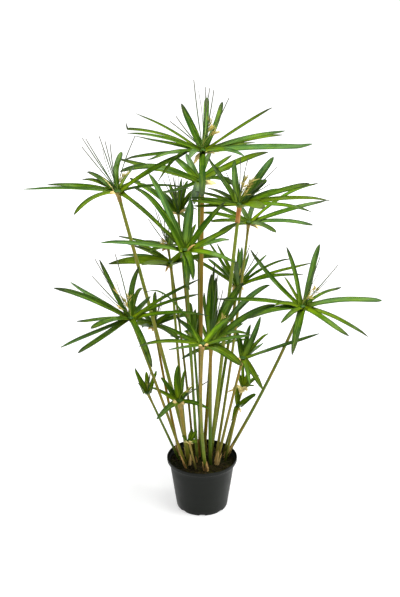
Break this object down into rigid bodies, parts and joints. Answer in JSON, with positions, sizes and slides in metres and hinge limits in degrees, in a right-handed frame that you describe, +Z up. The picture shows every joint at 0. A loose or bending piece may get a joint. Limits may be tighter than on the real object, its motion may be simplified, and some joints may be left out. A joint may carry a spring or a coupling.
{
  "type": "potted dwarf papyrus",
  "caption": "Dwarf papyrus in a tapered black nursery pot: tall bare stems, each topped by an umbrella of strap leaves, some with hair-fine flower rays.",
  "frame": {"origin": "centre of the flat underside of the pot", "axes": "+Z up along the stems, -Y towards the pictured front, +X to the right of it"},
  "size_m": [0.779, 0.58, 1.035],
  "materials": {
    "pot": "matt black moulded plastic",
    "soil": "moist dark compost with moss",
    "stem": "smooth olive green",
    "leaf": "satin green, finely ribbed",
    "tuft": "dull straw and grey"
  },
  "bodies": {
    "root": {"pot": "pot", "soil": "soil", "stem_01": "stem", "leaves_01": "leaf", "stem_02": "stem", "leaves_02": "leaf", "stem_03": "stem", "leaves_03": "leaf", "stem_04": "stem", "leaves_04": "leaf", "stem_05": "stem", "leaves_05": "leaf", "stem_06": "stem", "leaves_06": "leaf", "stem_07": "stem", "leaves_07": "leaf", "stem_08": "stem", "leaves_08": "leaf", "stem_09": "stem", "leaves_09": "leaf", "stem_10": "stem", "leaves_10": "leaf", "stem_11": "stem", "leaves_11": "leaf", "stem_12": "stem", "leaves_12": "leaf", "stem_13": "stem", "leaves_13": "leaf", "stem_14": "stem", "leaves_14": "leaf", "stem_15": "stem", "leaves_15": "leaf", "stem_16": "stem", "leaves_16": "leaf", "stem_17": "stem", "leaves_17": "leaf", "stem_18": "stem", "leaves_18": "leaf", "stem_19": "stem", "leaves_19": "leaf", "stem_20": "stem", "leaves_20": "leaf", "stem_21": "stem", "leaves_21": "leaf", "stem_22": "stem", "leaves_22": "leaf", "stem_23": "stem", "leaves_23": "leaf", "tuft_01": "tuft", "tuft_03": "tuft", "tuft_04": "tuft", "tuft_05": "tuft", "tuft_09": "tuft", "tuft_10": "tuft", "tuft_11": "tuft", "tuft_12": "tuft", "tuft_14": "tuft", "tuft_19": "tuft", "tuft_20": "tuft", "tuft_22": "tuft"}
  },
  "joints": []
}
